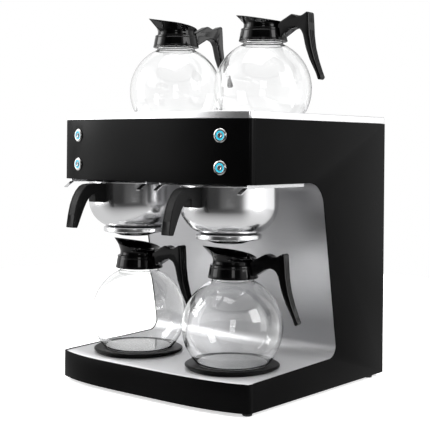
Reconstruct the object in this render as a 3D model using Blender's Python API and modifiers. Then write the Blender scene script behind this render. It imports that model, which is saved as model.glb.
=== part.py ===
"""Twin commercial coffee brewer: housing, two pull-out baskets, four warmers and four glass jugs."""
import math
import bmesh
import bpy
from mathutils import Matrix, Vector

# Overall sizes, all in millimetres. x is across, y runs back from the front corners,
# z is up from the underside of the base.
halfWide = 200.0
deep = 386.0
bowDepth = 23.2
bowPower = 3.8
cornerRadius = 8.0
sheet = 1.5
gap = 0.3
baseHigh = 43.75
baseSlope = 0.0246
housingLow = 337.0
housingHigh = 436.3
trayHigh = 447.8
trayFloor = 429.0
seamY = 10.0
footHigh = 6.0

# Where the origin sits in the sizes above: the middle of the bounding box, feet on the ground.
midX = 9.27
midY = 158.7

# Warmers and jugs.
lowerX, lowerY = 102.6, 82.0
upperX, upperY = 96.3, 164.9
warmerRadius = 75.7
hubRadius = 71.5
lowerWarmerTop = 50.5
upperWarmerTop = 433.0
globeRadius = 81.0
globeCentre = 57.0
glassWall = 2.0
neckRadius = 33.0
handleWide = 20.0

# Baskets.
basketX, basketY = 102.6, 70.0
bowlRadius = 78.3
flangeRadius = 84.0
flangeLow, flangeHigh = 333.0, 334.2

# Buttons.
buttonX = 152.8
buttonHighs = (410.6, 362.4)
bezelRadius = 10.8

scene = bpy.context.scene
for old in list(bpy.data.objects):
    bpy.data.objects.remove(old, do_unlink=True)
partSet = bpy.data.collections.new("coffee_brewer")
cutSet = bpy.data.collections.new("cutters")
for holder in (partSet, cutSet):
    scene.collection.children.link(holder)


def at(x, y, z):
    """Millimetre position to a world position in metres."""
    return Vector(((x - midX) * 0.001, (y - midY) * 0.001, (z + footHigh) * 0.001))


def material(name, colour, metal=0.0, rough=0.4, glass=0.0):
    slot = bpy.data.materials.get(name) or bpy.data.materials.new(name)
    slot.use_nodes = True
    shader = slot.node_tree.nodes["Principled BSDF"]
    shader.inputs["Base Color"].default_value = (*colour, 1.0)
    shader.inputs["Metallic"].default_value = metal
    shader.inputs["Roughness"].default_value = rough
    shader.inputs["Transmission Weight"].default_value = glass
    return slot


black = (0.012, 0.012, 0.013)
steel = (0.62, 0.62, 0.63)
looks = {
    "painted": (black, 0.0, 0.38, 0.0),
    "plastic": ((0.008, 0.008, 0.009), 0.0, 0.16, 0.0),
    "steel": (steel, 1.0, 0.28, 0.0),
    "glass": ((0.95, 0.97, 0.97), 0.0, 0.02, 1.0),
    "enamel": ((0.015, 0.015, 0.015), 0.0, 0.3, 0.0),
    "rubber": ((0.01, 0.01, 0.01), 0.0, 0.8, 0.0),
    "light": ((0.05, 0.65, 0.9), 0.0, 0.3, 0.0),
    "board": ((0.03, 0.22, 0.1), 0.0, 0.5, 0.0),
    "silicone": ((0.75, 0.75, 0.72), 0.0, 0.55, 0.0),
    "brass": ((0.75, 0.55, 0.22), 1.0, 0.35, 0.0),
}


def finish(obj, look):
    """Give a part its own material."""
    colour, metal, rough, glass = looks[look]
    obj.data.materials.clear()
    obj.data.materials.append(material(obj.name + "_" + look, colour, metal, rough, glass))
    return obj


def addMesh(name, verts, faces, place, holder=None, edges=()):
    """A mesh object; verts are millimetres about the place, itself in millimetres."""
    mesh = bpy.data.meshes.new(name)
    mesh.from_pydata([Vector(v) * 0.001 for v in verts], list(edges), faces)
    mesh.update()
    obj = bpy.data.objects.new(name, mesh)
    obj.location = at(*place)
    (holder or partSet).objects.link(obj)
    return obj


def asCutter(obj):
    obj.hide_render = True
    obj.display_type = "WIRE"
    return obj


def turned(name, profile, place, steps=20, holder=None):
    """Spin a profile of (radius, height) points about the upright axis through place.

    A closed profile is a ring; one that starts and ends on the axis is a solid disc."""
    onAxis = profile[0][0] < 1e-6
    verts = [(r, 0.0, z) for r, z in profile]
    edges = [(i, i + 1) for i in range(len(verts) - 1)]
    if not onAxis:
        edges.append((len(verts) - 1, 0))
    obj = addMesh(name, verts, [], place, holder, edges)
    screw = obj.modifiers.new("spin", "SCREW")
    screw.axis = "Z"
    screw.angle = 2 * math.pi
    screw.steps = screw.render_steps = steps
    screw.use_merge_vertices = True
    screw.merge_threshold = 0.00001
    screw.use_smooth_shade = False
    return obj


def prism(name, loops, low, high, place, plane="XY", holder=None):
    """A flat outline with holes, filled and pushed from low to high along the plane's normal."""
    curve = bpy.data.curves.new(name, "CURVE")
    curve.dimensions = "2D"
    curve.fill_mode = "BOTH"
    curve.extrude = (high - low) * 0.0005
    for loop in loops:
        spline = curve.splines.new("POLY")
        spline.points.add(len(loop) - 1)
        for point, (a, b) in zip(spline.points, loop):
            point.co = (a * 0.001, b * 0.001, 0.0, 1.0)
        spline.use_cyclic_u = True
    raw = bpy.data.objects.new(name + "_outline", curve)
    scene.collection.objects.link(raw)
    mesh = bpy.data.meshes.new_from_object(raw.evaluated_get(bpy.context.evaluated_depsgraph_get()))
    bpy.data.objects.remove(raw, do_unlink=True)
    middle = (low + high) * 0.0005
    shift = Matrix.Translation((0.0, 0.0, middle))
    if plane == "YZ":
        shift = Matrix(((0, 0, 1, middle), (1, 0, 0, 0), (0, 1, 0, 0), (0, 0, 0, 1)))
    mesh.transform(shift)
    mesh.name = name
    weld(mesh)
    obj = bpy.data.objects.new(name, mesh)
    obj.location = at(*place)
    (holder or partSet).objects.link(obj)
    return obj


def weld(mesh):
    work = bmesh.new()
    work.from_mesh(mesh)
    bmesh.ops.remove_doubles(work, verts=work.verts, dist=0.000001)
    bmesh.ops.recalc_face_normals(work, faces=work.faces)
    work.to_mesh(mesh)
    work.free()


def combine(obj, other, mode):
    step = obj.modifiers.new(mode.lower(), "BOOLEAN")
    step.operation = mode
    step.solver = "EXACT"
    step.object = asCutter(other)


def cylinder(name, radius, low, high, place, steps=20, holder=None):
    profile = [(0.0, high), (radius, high), (radius, low), (0.0, low)]
    return turned(name, profile, place, steps, holder)


def box(name, low, high, place=(0, 0, 0), holder=None):
    loop = [(low[0], low[1]), (high[0], low[1]), (high[0], high[1]), (low[0], high[1])]
    return prism(name, [loop], low[2], high[2], place, "XY", holder)


def circle(x, y, radius, steps=20):
    return [(x + radius * math.cos(2 * math.pi * i / steps), y + radius * math.sin(2 * math.pi * i / steps))
            for i in range(steps)]


def rounded(points, radii, steps=6):
    """Round the corners of an open path; radii has one entry per point, ends ignored."""
    out = [points[0]]
    for i in range(1, len(points) - 1):
        corner = Vector(points[i])
        before = (Vector(points[i - 1]) - corner).normalized()
        after = (Vector(points[i + 1]) - corner).normalized()
        half = before.angle(after) / 2
        reach = radii[i] / math.tan(half)
        centre = corner + (before + after).normalized() * (radii[i] / math.sin(half))
        start = corner + before * reach - centre
        end = corner + after * reach - centre
        turn = math.atan2(start.x * end.y - start.y * end.x, start.dot(end))
        for k in range(steps + 1):
            a = turn * k / steps
            spoke = Vector((start.x * math.cos(a) - start.y * math.sin(a),
                            start.x * math.sin(a) + start.y * math.cos(a)))
            out.append(tuple(centre + spoke))
    out.append(points[-1])
    return out


def bowY(x, inset=0.0):
    """Front face y at x, for an outline drawn in by inset."""
    u = min(1.0, abs(x) / (halfWide - inset))
    return -bowDepth * (1 - u ** bowPower) + inset * (1 - 0.35 * u ** 3)


def frontOutline(inset, steps=16, cornerSteps=3):
    """Plan line from the left side round the bowed front to the right side."""
    half = halfWide - inset
    cornerY = bowY(half, inset)
    lean = math.atan(bowDepth * bowPower / half)
    radius = max(cornerRadius - inset, 1.0)
    reach = radius * math.tan((math.pi / 2 - lean) / 2)
    arc = []
    for k in range(cornerSteps + 1):
        a = -math.pi / 2 + lean + (math.pi / 2 - lean) * k / cornerSteps
        arc.append((half - radius + radius * math.cos(a), cornerY + reach + radius * math.sin(a)))
    edge = arc[0][0]
    middle = [edge * math.sin(math.pi / 2 * (2 * k / steps - 1)) for k in range(1, steps)]
    front = [(x, bowY(x, inset)) for x in middle]
    return [(-x, y) for x, y in reversed(arc)] + front + arc


def planOutline(inset, back, steps=16):
    """Whole plan line: bowed front, straight sides, flat back."""
    half = halfWide - inset
    return frontOutline(inset, steps) + [(half, back), (-half, back)]


def band(name, low, high):
    """Bowed strip of sheet with rounded ends that meets the side panels."""
    outer = frontOutline(0.0)
    inner = frontOutline(sheet)
    loop = ([(-halfWide, seamY)] + outer + [(halfWide, seamY), (halfWide - sheet, seamY)]
            + list(reversed(inner)) + [(-halfWide + sheet, seamY)])
    return prism(name, [loop], low, high, (0, 0, 0))


# ---- housing ---------------------------------------------------------------
slantTop = (188.6, housingLow)
slantFoot = (237.5, 49.6)


def edgeZ(y):
    return baseHigh + baseSlope * y


def sidePanel(name, side):
    """C-shaped side sheet: leaning inner edge, rounded where it meets base and housing."""
    startY = seamY + gap
    opening = rounded([(startY, housingLow), slantTop, slantFoot, (startY, edgeZ(startY))],
                      [0, 42, 18.6, 0], 7)
    loop = [(startY, 0.0), (deep, 0.0), (deep, housingHigh), (startY, housingHigh)] + opening
    low, high = sorted((side * (halfWide - sheet), side * halfWide))
    return finish(prism(name, [loop], low, high, (0, 0, 0), "YZ"), "painted")


sidePanel("side_panel_left", -1)
sidePanel("side_panel_right", 1)

fascia = band("front_fascia", housingLow + 0.2, housingHigh)
for side in (-1, 1):
    for high in buttonHighs:
        hole = cylinder("fascia_hole", 9.0, -30, 30, (side * buttonX, bowY(buttonX), high), 20, cutSet)
        hole.rotation_euler = (math.pi / 2, 0, 0)
        combine(fascia, hole, "DIFFERENCE")
finish(fascia, "painted")

base = band("base_shell", 0.0, baseHigh)
innerHalf = halfWide - sheet - gap
panLoop = ([(-innerHalf, seamY)] + frontOutline(0.8) + [(innerHalf, seamY), (innerHalf, deep - sheet - gap),
           (-innerHalf, deep - sheet - gap)])
combine(base, prism("base_pan", [panLoop], 0.0, 1.2, (0, 0, 0), "XY", cutSet), "UNION")
footSpots = [(-186, 13.4), (186, 13.4), (-186, 358), (186, 358)]
for x, y in footSpots:
    combine(base, cylinder("pan_hole", 2.8, -5, 5, (x, y, 0), 16, cutSet), "DIFFERENCE")
finish(base, "painted")

rearPanel = prism("rear_cover", [[(-innerHalf, deep - sheet), (innerHalf, deep - sheet),
                                  (innerHalf, deep), (-innerHalf, deep)]], 0.0, housingHigh, (0, 0, 0))
valveSpot = (-110.0, 80.0)
socketSpot = (118.0, 78.0)
for x, z, radius in ((*valveSpot, 13.6), (*socketSpot, 12.4)):
    hole = cylinder("rear_hole", radius, -10, 10, (x, deep, z), 24, cutSet)
    hole.rotation_euler = (math.pi / 2, 0, 0)
    combine(rearPanel, hole, "DIFFERENCE")
for row in range(7):
    slot = box("vent_slot", (-55, deep - 8, 352 + 10 * row), (55, deep + 8, 356 + 10 * row), holder=cutSet)
    combine(rearPanel, slot, "DIFFERENCE")
finish(rearPanel, "painted")

# Stainless liner: deck, leaning wall and short ceiling folded from one sheet.
deckDrop, wallBack, ceilingLift, linerSheet = 1.35, 1.2, 0.6, 1.2


def deckZ(y):
    return edgeZ(y) - deckDrop


lean = Vector((slantFoot[0] - slantTop[0], slantFoot[1] - slantTop[1])).normalized()


def linerPath(out):
    """Fold line of the liner, moved outwards by out from its visible face."""
    shift = (wallBack + out) / abs(lean.y)
    ceiling = housingLow + ceilingLift + out

    def wallY(z):
        return slantTop[0] + shift + (z - housingLow) * lean.x / lean.y
    deckOut = out * 1.0003
    footY = 238.0
    for _ in range(20):
        footY = wallY(deckZ(footY) - deckOut)
    return rounded([(-40.0, deckZ(-40.0) - deckOut), (footY, deckZ(footY) - deckOut),
                    (wallY(ceiling), ceiling), (152.0, ceiling)],
                   [0, 18.6 + wallBack + out, 42 + wallBack + out, 0], 7)


linerLoop = linerPath(0.0) + list(reversed(linerPath(linerSheet)))
liner = prism("inner_liner", [linerLoop], -innerHalf, innerHalf, (0, 0, 0), "YZ")
trim = prism("liner_trim", [planOutline(sheet + gap, deep - 3)], 20.0, 345.0, (0, 0, 0), "XY", cutSet)
combine(liner, trim, "INTERSECT")
for side in (-1, 1):
    hole = cylinder("deck_hole", hubRadius + 0.8, 20, 60, (side * lowerX, lowerY, 0), 28, cutSet)
    combine(liner, hole, "DIFFERENCE")
finish(liner, "steel")

# Underside of the upper housing.
floorLoop = ([(-innerHalf, 149.5)] + frontOutline(sheet + gap) + [(innerHalf, 149.5)])
floorHoles = [circle(side * basketX, basketY, 10.6, 20) for side in (-1, 1)]
finish(prism("housing_floor", [floorLoop] + floorHoles, housingLow + 0.3, housingLow + 1.5, (0, 0, 0)),
       "painted")

# Stainless top tray with a raised rim and a sunk floor.
trayRings = [(trayFloor - 1.2, 8.8), (housingHigh + 0.4, 8.8), (housingHigh + 0.4, 0.0),
             (trayHigh - 1.2, 0.0), (trayHigh, 1.2), (trayHigh, 8.8), (trayHigh - 1.2, 10.0), (trayFloor, 10.0)]


def trayLoop(inset):
    half = halfWide - inset
    back = deep - inset
    tail = rounded([(half, 60.0), (half, back), (-half, back), (-half, 60.0)],
                   [0, max(4.0 - inset, 1.0), max(4.0 - inset, 1.0), 0], 2)
    return frontOutline(inset) + tail


loops = [[(x, y, z) for x, y in trayLoop(inset)] for z, inset in trayRings]
count = len(loops[0])
trayVerts = [v for loop in loops for v in loop]
trayFaces = []
for ring in range(len(loops) - 1):
    for i in range(count):
        j = (i + 1) % count
        trayFaces.append((ring * count + i, ring * count + j, (ring + 1) * count + j, (ring + 1) * count + i))
trayFaces.append(tuple(reversed(range(count))))
trayFaces.append(tuple(range((len(loops) - 1) * count, len(loops) * count)))
tray = addMesh("top_tray", trayVerts, trayFaces, (0, 0, 0))
weld(tray.data)
for side in (-1, 1):
    hole = cylinder("tray_hole", hubRadius + 0.8, 400, 440, (side * upperX, upperY, 0), 28, cutSet)
    combine(tray, hole, "DIFFERENCE")
finish(tray, "steel")

# Feet: rubber pads with a stud up through the base.
for index, (x, y) in enumerate(footSpots):
    profile = [(0.0, 4.0), (2.5, 4.0), (2.5, -gap), (8.0, -gap), (7.2, -footHigh), (0.0, -footHigh)]
    name = "foot_" + ("front_" if y < 100 else "rear_") + ("left" if x < 0 else "right")
    finish(turned(name, profile, (x, y, 0), 14), "rubber")

# ---- warmers ----------------------------------------------------------------


def warmer(name, x, y, top, thick, hubDrop):
    """Round black plate with a bevelled edge, and the heating disc bonded under its hub."""
    profile = [(0.0, top), (warmerRadius - 2.5, top), (warmerRadius, top - 1.4), (warmerRadius, top - thick),
               (hubRadius, top - thick), (hubRadius, top - thick - hubDrop), (0.0, top - thick - hubDrop)]
    finish(turned(name, profile, (x, y, 0), 28), "enamel")
    low = top - thick - hubDrop - gap
    element = cylinder(name.replace("warmer", "warmer_element"), 58.0, low - 5.0, low, (x, y, 0), 20)
    finish(element, "steel")


for side, word in ((-1, "left"), (1, "right")):
    warmer("warmer_lower_" + word, side * lowerX, lowerY, lowerWarmerTop, 3.6, 6.0)
    warmer("warmer_upper_" + word, side * upperX, upperY, upperWarmerTop, 3.7, 5.0)

# ---- buttons ----------------------------------------------------------------


def button(name, side, high):
    """Round push switch: threaded bezel, light ring and the domed cap that moves in."""
    slope = math.atan(bowDepth * bowPower / halfWide * (buttonX / halfWide) ** (bowPower - 1))
    place = (side * buttonX, bowY(buttonX), high)
    tilt = Matrix.Rotation(side * slope, 4, "Z") @ Matrix.Rotation(math.pi / 2, 4, "X")
    shapes = (
        ("button_bezel_", [(bezelRadius - 1.4, 2.6), (bezelRadius, 1.6), (bezelRadius, 0.5), (8.2, 0.5),
                           (8.2, -24.0), (3.0, -24.0), (3.0, -4.0), (7.2, -4.0), (7.2, 2.6)], "steel"),
        ("button_ring_", [(4.9, 2.3), (7.0, 2.3), (7.0, -3.0), (4.9, -3.0)], "light"),
        ("button_cap_", [(0.0, 3.2), (2.4, 3.0), (4.2, 2.4), (4.6, 1.8), (4.6, -1.2), (2.2, -1.2),
                         (2.2, -18.0), (0.0, -18.0)], "steel"))
    for word, profile, look in shapes:
        obj = turned(word + name, profile, place, 16)
        obj.rotation_euler = tilt.to_euler()
        finish(obj, look)


for side, word in ((-1, "left"), (1, "right")):
    for level, high in zip(("upper", "lower"), buttonHighs):
        button(level + "_" + word, side, high)

# ---- baskets, rails and spray heads -------------------------------------------


def bowlCurve(inset, steps=5):
    """Rounded lower wall of the bowl, from the cylinder down to the ring."""
    wide, centre, fall = 44.3 - inset, 34.0, 46.5 - inset
    last = math.acos((43.2 - inset - centre) / wide)
    return [(centre + wide * math.cos(last * k / steps), 303.0 - fall * math.sin(last * k / steps))
            for k in range(steps + 1)]


def basket(word, side):
    x = side * basketX
    wall = 1.3
    profile = [(bowlRadius - wall, flangeHigh), (flangeRadius, flangeHigh), (flangeRadius, flangeLow),
               (bowlRadius, flangeLow)] + bowlCurve(0.0)
    profile += [(50.6, 257.0), (52.5, 255.4), (52.5, 250.0), (51.0, 248.6), (8.0, 248.6), (8.0, 250.4),
                (40.5, 250.4), (40.5, 257.5)] + list(reversed(bowlCurve(wall)))[1:]
    finish(turned("basket_bowl_" + word, profile, (x, basketY, 0), 24), "steel")
    nozzle = [(8.0, 248.3), (36.0, 248.3), (36.0, 246.2), (25.0, 242.2), (8.0, 242.2)]
    finish(turned("basket_nozzle_" + word, nozzle, (x, basketY, 0), 20), "plastic")
    # Drooping grip: the block under the flange, then the bar forwards and down.
    handle = prism("basket_handle_" + word, [handleSide], -8.5, 8.5, (x, 0, 0), "YZ")
    bevel = handle.modifiers.new("soft", "BEVEL")
    bevel.width = 0.0012
    bevel.segments = 1
    bevel.limit_method = "ANGLE"
    bevel.angle_limit = math.radians(50)
    # The block is scooped to the round bowl.
    scoop = cylinder("bowl_scoop", bowlRadius + gap, 230, 360, (x, basketY, 0), 48, cutSet)
    combine(handle, scoop, "DIFFERENCE")
    finish(handle, "plastic")


handleSide = [(-3.0, 331.8), (-36.0, 331.8), (-47.0, 331.0), (-54.0, 327.6), (-61.0, 321.0), (-67.5, 311.5),
              (-73.0, 299.0), (-77.0, 284.0), (-80.6, 262.5), (-70.6, 261.8), (-66.5, 270.5), (-62.0, 280.5),
              (-56.2, 292.5), (-50.4, 302.5), (-44.4, 309.8), (-37.0, 314.6), (-31.0, 315.2), (-31.0, 301.8),
              (-9.0, 300.2), (-7.0, 303.0), (-3.0, 303.0)]


def rails(word, side):
    """Pair of L rails joined by a rear strap; the front ends of the ledges bend down."""
    x = side * basketX
    low = flangeLow - gap - 1.2
    ledge = [(150.0, low + 1.2), (2.6, low + 1.2), (-11.9, low - 7.6), (-11.2, low - 8.8), (3.0, low), (150.0, low)]
    root = prism("basket_rails_" + word, [ledge], -88.2, -80.0, (x, 0, 0), "YZ")
    others = [prism("rail_ledge", [ledge], 80.0, 88.2, (x, 0, 0), "YZ", cutSet),
              box("rail_web", (-88.2, 3.5, low), (-87.0, 150, housingLow), (x, 0, 0), cutSet),
              box("rail_web", (87.0, 3.5, low), (88.2, 150, housingLow), (x, 0, 0), cutSet),
              box("rail_strap", (-88.2, 141, housingLow - 1.2), (88.2, 150, housingLow), (x, 0, 0), cutSet)]
    for other in others:
        combine(root, other, "UNION")
    finish(root, "steel")


def sprayHead(word, side):
    """Spray plate under the housing with its stem up through the floor."""
    profile = [(0.0, 353.0), (4.0, 353.0), (4.0, 345.0), (10.0, 345.0), (10.0, housingLow - 0.2),
               (34.0, housingLow - 0.2), (34.0, housingLow - 1.8), (0.0, housingLow - 1.8)]
    finish(turned("spray_head_" + word, profile, (side * basketX, basketY, 0), 16), "steel")


for side, word in ((-1, "left"), (1, "right")):
    basket(word, side)
    rails(word, side)
    sprayHead(word, side)

# ---- jugs ---------------------------------------------------------------------
jugGrip = [(34.0, 162.2), (42.0, 167.0), (50.0, 171.0), (60.5, 176.5), (66.0, 175.0), (72.0, 172.2),
           (81.0, 173.0), (90.0, 178.5), (93.0, 176.0), (94.2, 160.0), (95.6, 140.0), (99.0, 120.0),
           (105.0, 100.0), (112.0, 82.0), (117.5, 71.0), (113.5, 66.5), (110.5, 68.0), (106.0, 80.0),
           (95.0, 101.0), (87.5, 121.0), (82.5, 143.0), (78.0, 150.5), (69.0, 154.5), (60.0, 152.0),
           (50.0, 146.0), (41.0, 140.5), (34.0, 140.5)]


def globeCurve(radius, low, high, steps):
    """Points down the globe wall between two heights."""
    top = math.asin((high - globeCentre) / radius)
    foot = math.asin((low - globeCentre) / radius)
    return [(radius * math.cos(top + (foot - top) * k / steps),
             globeCentre + radius * math.sin(top + (foot - top) * k / steps)) for k in range(steps + 1)]


def jug(word, x, y, rest, facing):
    """Glass globe, clamped collar with the moulded grip, and an open pour-through top."""
    place = (x, y, rest + gap)
    inner = globeRadius - glassWall
    outside = [(neckRadius - glassWall, 155.0), (neckRadius, 155.0), (neckRadius, 132.6)]
    outside += globeCurve(globeRadius, 2.2, 130.4, 10) + [(57.4, 0.0), (0.0, 0.0)]
    inside = globeCurve(inner, 4.0, 128.6, 8)
    profile = ([(0.0, 2.0), (57.0, 2.2)] + list(reversed(inside)) + [(neckRadius - glassWall, 131.8)] + outside)
    glass = turned("jug_glass_" + word, profile, place, 22)
    glass.rotation_euler = (0, 0, facing)
    finish(glass, "glass")

    # Collar round the neck, joined to the grip.
    clear = neckRadius + gap
    ring = [(clear, 156.0), (36.6, 156.0), (37.4, 155.1), (40.4, 136.5), (40.1, 135.1), (clear + 0.6, 135.1)]
    collar = turned("jug_handle_" + word, ring, place, 22)
    collar.rotation_euler = (0, 0, facing)
    gripBody = prism("grip_" + word, [jugGrip], -handleWide / 2, handleWide / 2, place, "YZ", cutSet)
    gripBody.data.transform(Matrix.Rotation(-math.pi / 2, 4, "Z"))
    gripBody.rotation_euler = (0, 0, facing)
    soft = gripBody.modifiers.new("soft", "BEVEL")
    soft.width = 0.0028
    soft.segments = 1
    soft.limit_method = "ANGLE"
    soft.angle_limit = math.radians(60)
    combine(collar, gripBody, "UNION")
    bore = cylinder("collar_bore", clear, 130, 190, place, 22, cutSet)
    bore.rotation_euler = (0, 0, facing)
    combine(collar, bore, "DIFFERENCE")
    finish(collar, "plastic")

    # Pour-through top: a leaning dish with a pointed lip, and a skirt down the neck.
    steps = 22
    rings = []

    def dishRing(reach, tip, middle, tilt):
        """Ring that is round at the back and runs straight to a point at the front, on a leaning plane."""
        span = math.acos(min(1.0, reach / tip))
        ringPoints = []
        for k in range(steps):
            a = 2 * math.pi * k / steps
            off = abs(math.pi - a)
            r = reach / math.cos(span - off) if off < span else reach
            ringPoints.append((r * math.cos(a), r * math.sin(a), middle - tilt * r * math.cos(a)))
        rings.append(ringPoints)

    dishRing(28.4, 28.4, 150.0, 0.0)
    dishRing(30.4, 30.4, 150.0, 0.0)
    dishRing(30.4, 30.4, 156.4, 0.0)
    dishRing(32.6, 32.6, 156.9, 0.0)
    dishRing(32.3, 33.6, 162.4, 0.014)
    dishRing(34.2, 44.0, 166.4, 0.08)
    dishRing(37.0, 56.5, 172.3, 0.176)
    dishRing(36.0, 54.7, 173.5, 0.176)
    dishRing(32.0, 43.0, 169.8, 0.11)
    dishRing(28.4, 29.4, 164.6, 0.03)
    points = [p for r in rings for p in r]
    faces = []
    for a in range(len(rings)):
        b = (a + 1) % len(rings)
        for k in range(steps):
            j = (k + 1) % steps
            faces.append((a * steps + k, a * steps + j, b * steps + j, b * steps + k))
    lid = addMesh("jug_top_" + word, points, faces, place)
    weld(lid.data)
    lid.rotation_euler = (0, 0, facing)
    finish(lid, "plastic")


jugs = (("lower_left", -lowerX, lowerY, lowerWarmerTop, 4.5),
        ("lower_right", lowerX, lowerY, lowerWarmerTop, 11.0),
        ("upper_left", -upperX, upperY, upperWarmerTop, 73.0),
        ("upper_right", upperX, upperY, upperWarmerTop, 2.0))
for word, x, y, rest, degrees in jugs:
    jug(word, x, y, rest, math.radians(degrees))

# ---- inner workings --------------------------------------------------------------
boilerY = 318.0
boiler = [(0.0, 300.0), (30.0, 300.0), (44.0, 292.0), (46.0, 284.0), (46.0, 160.0), (44.0, 152.0),
          (30.0, 146.0), (0.0, 146.0)]
finish(turned("water_boiler", boiler, (0, boilerY, 0), 20), "steel")


def tube(name, points, radius, look):
    """Round hose swept along a bent path, ends capped."""
    curve = bpy.data.curves.new(name, "CURVE")
    curve.dimensions = "3D"
    curve.bevel_depth = radius * 0.001
    curve.bevel_resolution = 2
    curve.use_fill_caps = True
    spline = curve.splines.new("POLY")
    spline.points.add(len(points) - 1)
    for point, place in zip(spline.points, points):
        point.co = (*at(*place), 1.0)
    obj = bpy.data.objects.new(name, curve)
    partSet.objects.link(obj)
    return finish(obj, look)


for side, word in ((-1, "left"), (1, "right")):
    tube("spray_hose_" + word, [(side * 16, boilerY, 300.4), (side * 16, boilerY, 352), (side * 18, boilerY - 8, 366),
                                (side * 24, boilerY - 28, 374), (side * 90, 110, 374),
                                (side * 100, 80, 371), (side * basketX, basketY, 362),
                                (side * basketX, basketY, 353.4)], 4.0, "silicone")

# Water inlet valve with a threaded nose out through the rear cover.
nose = [(0.0, 12.0), (13.0, 12.0), (13.0, -12.0), (18.0, -12.0), (18.0, -46.0), (0.0, -46.0)]
valve = turned("inlet_valve", nose, (valveSpot[0], deep, valveSpot[1]), 16)
valve.rotation_euler = (-math.pi / 2, 0, 0)
coil = box("valve_coil", (-15, -44, -4), (15, -16, 42), (valveSpot[0], deep, valveSpot[1]), cutSet)
combine(valve, coil, "UNION")
finish(valve, "brass")

gland = [(0.0, 9.0), (8.0, 9.0), (11.5, 6.0), (16.0, 5.0), (16.0, gap), (12.0, gap), (12.0, -16.0), (0.0, -16.0)]
inlet = turned("power_gland", gland, (socketSpot[0], deep, socketSpot[1]), 16)
inlet.rotation_euler = (-math.pi / 2, 0, 0)
finish(inlet, "plastic")

board = box("control_board", (-60, 26, 350), (60, 27.6, 418))
finish(board, "board")
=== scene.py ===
import math

import bmesh
import bpy
from mathutils import Matrix, Vector


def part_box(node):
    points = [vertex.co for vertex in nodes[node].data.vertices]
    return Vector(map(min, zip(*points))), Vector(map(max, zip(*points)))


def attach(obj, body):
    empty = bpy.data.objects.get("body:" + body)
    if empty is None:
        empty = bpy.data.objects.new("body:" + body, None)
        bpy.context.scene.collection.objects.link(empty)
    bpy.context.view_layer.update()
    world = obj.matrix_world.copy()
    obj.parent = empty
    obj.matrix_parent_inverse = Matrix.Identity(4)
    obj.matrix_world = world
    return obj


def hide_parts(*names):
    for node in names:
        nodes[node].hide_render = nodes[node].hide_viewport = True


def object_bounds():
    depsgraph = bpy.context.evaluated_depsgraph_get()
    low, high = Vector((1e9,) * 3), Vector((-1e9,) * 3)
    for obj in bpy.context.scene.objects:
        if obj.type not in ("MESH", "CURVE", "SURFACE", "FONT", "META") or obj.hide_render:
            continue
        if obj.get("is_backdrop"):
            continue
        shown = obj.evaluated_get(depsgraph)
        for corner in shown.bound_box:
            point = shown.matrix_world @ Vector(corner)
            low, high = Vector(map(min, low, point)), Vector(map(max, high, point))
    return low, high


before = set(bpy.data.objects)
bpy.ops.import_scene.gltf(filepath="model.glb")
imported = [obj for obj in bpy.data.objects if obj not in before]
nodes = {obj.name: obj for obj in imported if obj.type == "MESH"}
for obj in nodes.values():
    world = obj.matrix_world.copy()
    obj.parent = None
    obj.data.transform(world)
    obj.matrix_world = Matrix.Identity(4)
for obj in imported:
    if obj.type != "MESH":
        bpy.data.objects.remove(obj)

scene = bpy.context.scene
cadLow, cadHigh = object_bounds()
print("frame loaded:", len(nodes), "nodes")

# The housing's own corner: middle of the width, the plane of the front corners, underside of the base.
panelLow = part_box("side_panel_left")[0]
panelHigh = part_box("side_panel_right")[1]
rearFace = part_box("rear_cover")[1].y
home = Vector(((panelLow.x + panelHigh.x) / 2, rearFace - 0.386, panelLow.z))

housing = {"half": 200.0, "deep": 386.0, "bow": 23.2, "power": 3.8, "corner": 8.0, "sheet": 1.5,
           "baseHigh": 43.75, "baseSlope": 0.0246, "low": 337.0, "high": 436.3, "seam": 10.0}


def spot(x, y, z):
    return home + Vector((x, y, z)) * 0.001  # millimetres on the housing to a place in the scene


def axisOf(node):
    low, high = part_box(node)
    return Vector(((low.x + high.x) / 2, (low.y + high.y) / 2, low.z))


# ---- small tools for shapes, all in millimetres ----

def roundCorners(points, radius=1.0, closed=True, steps=4):
    out = []
    count = len(points)
    for i, here in enumerate(points):
        corner = Vector(here[:2])
        if not closed and i in (0, count - 1):
            out.append(tuple(corner))
            continue
        before = Vector(points[i - 1][:2]) - corner
        after = Vector(points[(i + 1) % count][:2]) - corner
        r = here[2] if len(here) > 2 else radius
        half = before.angle(after) / 2
        if r <= 0 or half > 1.54:
            out.append(tuple(corner))
            continue
        reach = min(r / math.tan(half), 0.47 * before.length, 0.47 * after.length)
        r = reach * math.tan(half)
        before.normalize()
        after.normalize()
        centre = corner + (before + after).normalized() * (r / math.sin(half))
        start = corner + before * reach - centre
        end = corner + after * reach - centre
        turn = math.atan2(start.x * end.y - start.y * end.x, start.dot(end))
        for k in range(steps + 1):
            a = turn * k / steps
            out.append((centre.x + start.x * math.cos(a) - start.y * math.sin(a),
                        centre.y + start.x * math.sin(a) + start.y * math.cos(a)))
    return out


def buildMesh(name, verts, faces, creaseAngle=32.0):
    mesh = bpy.data.meshes.new(name)
    mesh.from_pydata([Vector(v) * 0.001 for v in verts], [], faces)
    work = bmesh.new()
    work.from_mesh(mesh)
    bmesh.ops.remove_doubles(work, verts=work.verts, dist=0.0000005)
    bmesh.ops.recalc_face_normals(work, faces=work.faces)
    for face in work.faces:
        face.smooth = True
    work.to_mesh(mesh)
    work.free()
    mesh.set_sharp_from_angle(angle=math.radians(creaseAngle))
    return mesh


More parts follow.
